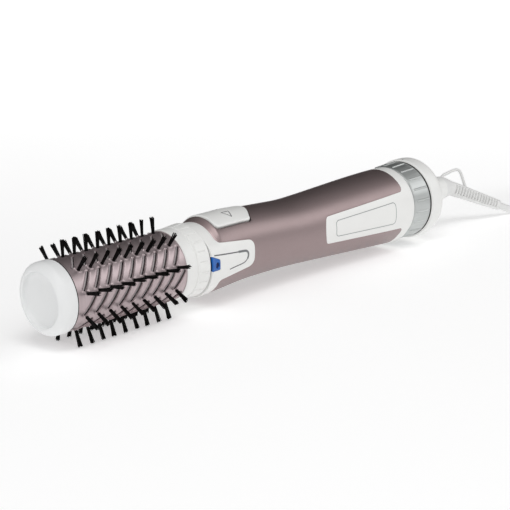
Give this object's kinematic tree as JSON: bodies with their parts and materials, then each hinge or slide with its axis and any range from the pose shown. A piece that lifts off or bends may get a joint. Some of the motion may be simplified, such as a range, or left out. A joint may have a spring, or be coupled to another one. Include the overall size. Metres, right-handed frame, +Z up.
{
  "type": "hot air brush",
  "caption": "Rotating hot air styling brush: louvred metal barrel with bristle tufts, tapered handle with rocker and heat selector ring, blower, heater, brush gearbox and coiled mains lead.",
  "frame": {"origin": "middle of the length without the lead, below it on the plane the object lies on", "axes": "+X along the brush's axis towards the lead, +Z up through the rocker button, -Y its left side"},
  "size_m": [0.5214, 0.098, 0.0581],
  "materials": {
    "white_shell": "satin moulded plastic",
    "mauve_shell": "satin metallic lacquer on a moulded plastic shell",
    "barrel_metal": "satin anodised, warm grey-rose",
    "bristle": "fine nylon tufts",
    "core_plastic": "heat resistant moulded plastic",
    "strip_rubber": "moulded strip",
    "steel": "bright",
    "brass": "machined",
    "gear_nylon": "moulded nylon",
    "case_grey": "moulded plastic",
    "motor_can": "plated steel can",
    "ion_blue": "translucent-look blue plastic",
    "black_part": "moulded plastic",
    "board_green": "circuit board laminate",
    "mica": "mica sheet",
    "heat_wire": "resistance wire",
    "silver_ring": "satin metallised",
    "cord_white": "soft white vinyl",
    "tie_grey": "rubber strap"
  },
  "bodies": {
    "cord": {"cord_swivel": "white_shell", "strain_relief": "cord_white", "hanging_loop": "cord_white", "mains_cord": "cord_white", "cord_coil": "cord_white", "cord_tie": "tie_grey", "cord_tail": "cord_white", "plug_body": "cord_white", "plug_pins": "brass"},
    "handle": {"hub_bush": "brass", "gearbox_case": "case_grey", "gearbox_lid": "case_grey", "idler_axle": "steel", "gear_motor": "motor_can", "front_collar": "white_shell", "ion_outlet": "ion_blue", "ion_needle": "steel", "ion_generator": "black_part", "left_shell": "mauve_shell", "right_shell": "mauve_shell", "rocker_pin": "steel", "rocker_bracket": "case_grey", "switch_board": "board_green", "micro_switches": "black_part", "heater_duct": "mica", "heater_frame": "mica", "heater_coil": "heat_wire", "thermal_cutout": "steel", "circuit_board": "board_green", "board_parts": "black_part", "fan_duct": "core_plastic", "fan_motor": "motor_can", "rear_sleeve": "white_shell", "selector_switch": "black_part", "rear_cap": "white_shell", "dust_screen": "case_grey", "cap_screws": "steel"},
    "brush": {"tip_cap": "white_shell", "brush_barrel": "barrel_metal", "bristle_tufts": "bristle", "bristle_strips": "strip_rubber", "brush_core": "core_plastic", "brush_collar": "white_shell", "brush_clip": "steel"},
    "drive": {"drive_hub": "core_plastic", "output_gear": "gear_nylon"},
    "idler": {"idler_gear": "gear_nylon"},
    "pinion": {"motor_pinion": "brass"},
    "fan": {"fan_shaft": "steel", "fan_impeller": "core_plastic"},
    "rocker": {"rocker_button": "white_shell"},
    "selector": {"selector_ring": "silver_ring"}
  },
  "joints": [
    {"name": "cord_turn", "type": "hinge", "parent": "cord", "child": "handle", "pos_m": [0.117, 0, 0.02834], "axis": [1, 0, 0], "continuous": true},
    {"name": "drive_turn", "type": "hinge", "parent": "handle", "child": "drive", "pos_m": [-0.088, 0, 0.02834], "axis": [1, 0, 0], "continuous": true},
    {"name": "idler_turn", "type": "hinge", "parent": "handle", "child": "idler", "pos_m": [-0.076, 0, 0.02115], "axis": [1, 0, 0], "continuous": true},
    {"name": "pinion_turn", "type": "hinge", "parent": "handle", "child": "pinion", "pos_m": [-0.07, 0, 0.02834], "axis": [1, 0, 0], "continuous": true},
    {"name": "brush_release", "type": "slide", "parent": "drive", "child": "brush", "axis": [-1, 0, 0], "range_m": [0, 0.03]},
    {"name": "fan_turn", "type": "hinge", "parent": "handle", "child": "fan", "pos_m": [0.042, 0, 0.02834], "axis": [1, 0, 0], "continuous": true},
    {"name": "rocker_press", "type": "hinge", "parent": "handle", "child": "rocker", "pos_m": [-0.064, 0, 0.04714], "axis": [1, 0, 0], "range_deg": [-4, 4], "stiffness_Nm_per_rad": 0.6},
    {"name": "selector_turn", "type": "hinge", "parent": "handle", "child": "selector", "pos_m": [0.095, 0, 0.02834], "axis": [1, 0, 0], "range_deg": [0, 54]}
  ],
  "couplings": [
    {"joint": "idler_turn", "follows": "drive_turn", "ratio": -2.6},
    {"joint": "pinion_turn", "follows": "drive_turn", "ratio": 9.1}
  ]
}
